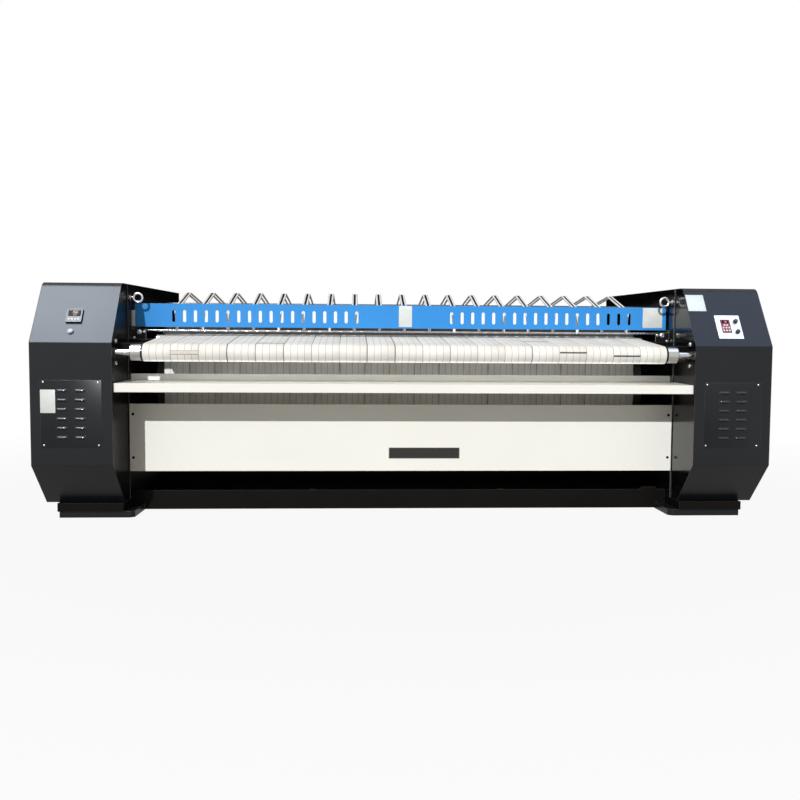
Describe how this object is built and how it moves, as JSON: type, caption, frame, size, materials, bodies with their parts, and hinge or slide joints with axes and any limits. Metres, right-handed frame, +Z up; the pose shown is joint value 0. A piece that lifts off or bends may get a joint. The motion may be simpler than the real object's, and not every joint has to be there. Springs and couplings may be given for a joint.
{
  "type": "flatwork ironer",
  "caption": "Single-drum flatwork ironer: heated drum wrapped by cloth belts between two end housings, with feed belts, sprung finger guard, shelf and controls.",
  "frame": {"origin": "on the floor, under the middle of the machine's overall box", "axes": "+X along the drum towards the control side, +Y from the feed side to the rear, +Z up"},
  "size_m": [4.2, 1.8412, 1.407],
  "materials": {
    "charcoal_paint": "satin",
    "black_paint": "gloss",
    "white_enamel": "gloss",
    "black_plate": "satin",
    "zinc": "satin",
    "belt_cloth": "matte",
    "polished_steel": "gloss",
    "cast_iron": "satin",
    "machined_steel": "satin",
    "blue_paint": "gloss",
    "pale_plastic": "satin",
    "black_plastic": "satin",
    "bright_chrome": "gloss",
    "brushed_plate": "satin",
    "maroon_film": "gloss"
  },
  "bodies": {
    "frame": {"left_side_cover": "charcoal_paint", "right_side_cover": "charcoal_paint", "left_front_shell": "charcoal_paint", "right_front_shell": "charcoal_paint", "left_access_panel": "charcoal_paint", "right_access_panel": "charcoal_paint", "left_rear_cover": "charcoal_paint", "right_rear_cover": "charcoal_paint", "left_frame_plate": "black_paint", "right_frame_plate": "black_paint", "left_inner_wall": "black_paint", "right_inner_wall": "black_paint", "left_plinth": "black_paint", "right_plinth": "black_paint", "left_foot_rail": "black_paint", "right_foot_rail": "black_paint", "base_beams": "black_paint", "floor_pan": "black_paint", "rod_brackets": "black_paint", "guard_bosses": "black_paint", "bed_cross_tubes": "black_paint", "feed_shelf": "white_enamel", "front_apron": "white_enamel", "rear_apron": "white_enamel", "delivery_chute": "white_enamel", "nameplate": "black_plate", "apron_screws": "black_plate", "panel_screws": "zinc", "frame_bolts": "zinc", "lifting_eyebolts": "zinc", "belt_lacings": "zinc", "conveyor_belts": "belt_cloth", "wire_rods": "polished_steel", "guide_wires": "polished_steel", "feed_bed": "polished_steel", "roller_bearings": "cast_iron", "drum_bearings": "cast_iron", "gear_motor": "cast_iron", "rotary_steam_joint": "cast_iron", "drive_chain": "machined_steel", "steam_pipes": "machined_steel", "guard_sensor": "pale_plastic", "temperature_controller": "black_plastic", "selector_collar": "bright_chrome", "control_plate": "brushed_plate", "keypad": "maroon_film"},
    "drum": {"heated_drum": "polished_steel", "drum_sprocket": "machined_steel"},
    "feed_roller": {"feed_roller": "polished_steel"},
    "nip_roller": {"nip_roller": "polished_steel"},
    "exit_roller": {"exit_roller": "polished_steel"},
    "lower_rear_roller": {"lower_rear_roller": "polished_steel"},
    "lower_front_roller": {"lower_front_roller": "polished_steel"},
    "snub_roller": {"snub_roller": "polished_steel"},
    "drive": {"drive_sprocket": "machined_steel"},
    "guard": {"guard_panel": "blue_paint", "guard_pins": "polished_steel"},
    "speed_knob": {"speed_knob": "black_plastic"},
    "stop_button": {"stop_button": "black_plastic"},
    "selector_key": {"selector_key": "bright_chrome"}
  },
  "joints": [
    {"name": "drum_spin", "type": "hinge", "parent": "frame", "child": "drum", "pos_m": [0, 0.13, 0.75], "axis": [1, 0, 0], "continuous": true},
    {"name": "feed_roller_spin", "type": "hinge", "parent": "frame", "child": "feed_roller", "pos_m": [0, -0.845, 0.967], "axis": [1, 0, 0], "continuous": true},
    {"name": "nip_roller_spin", "type": "hinge", "parent": "frame", "child": "nip_roller", "pos_m": [0, -0.21894, 1.03256], "axis": [1, 0, 0], "continuous": true},
    {"name": "exit_roller_spin", "type": "hinge", "parent": "frame", "child": "exit_roller", "pos_m": [0, 0.50224, 1.00108], "axis": [1, 0, 0], "continuous": true},
    {"name": "lower_rear_roller_spin", "type": "hinge", "parent": "frame", "child": "lower_rear_roller", "pos_m": [0, 0.50224, 0.25], "axis": [1, 0, 0], "continuous": true},
    {"name": "lower_front_roller_spin", "type": "hinge", "parent": "frame", "child": "lower_front_roller", "pos_m": [0, -0.2444, 0.25], "axis": [1, 0, 0], "continuous": true},
    {"name": "snub_roller_spin", "type": "hinge", "parent": "frame", "child": "snub_roller", "pos_m": [0, -0.318, 0.942], "axis": [1, 0, 0], "continuous": true},
    {"name": "drive_spin", "type": "hinge", "parent": "frame", "child": "drive", "pos_m": [0, -0.26, 0.33], "axis": [1, 0, 0], "continuous": true},
    {"name": "guard_tip", "type": "hinge", "parent": "frame", "child": "guard", "pos_m": [0, -0.41, 1.24], "axis": [1, 0, 0], "range_deg": [0, 10], "stiffness_Nm_per_rad": 60, "springref_deg": -4.58},
    {"name": "speed_knob_turn", "type": "hinge", "parent": "frame", "child": "speed_knob", "pos_m": [1.915, -0.80732, 1.16252], "axis": [0, 0.8383, -0.5452], "range_deg": [0, 270]},
    {"name": "stop_button_press", "type": "slide", "parent": "frame", "child": "stop_button", "axis": [0, 0.8383, -0.5452], "range_m": [0, 0.004], "stiffness_N_per_m": 400, "springref_m": -0.002},
    {"name": "selector_turn", "type": "hinge", "parent": "frame", "child": "selector_key", "pos_m": [-1.885, -0.86075, 1.08036], "axis": [0, 0.8383, -0.5452], "range_deg": [0, 90]}
  ],
  "couplings": [
    {"joint": "feed_roller_spin", "follows": "drum_spin", "ratio": -8.4211},
    {"joint": "nip_roller_spin", "follows": "drum_spin", "ratio": -8.8889},
    {"joint": "exit_roller_spin", "follows": "drum_spin", "ratio": -8.8889},
    {"joint": "lower_rear_roller_spin", "follows": "drum_spin", "ratio": -8.8889},
    {"joint": "lower_front_roller_spin", "follows": "drum_spin", "ratio": -10},
    {"joint": "snub_roller_spin", "follows": "drum_spin", "ratio": 13.333},
    {"joint": "drive_spin", "follows": "drum_spin", "ratio": 2.6667}
  ]
}
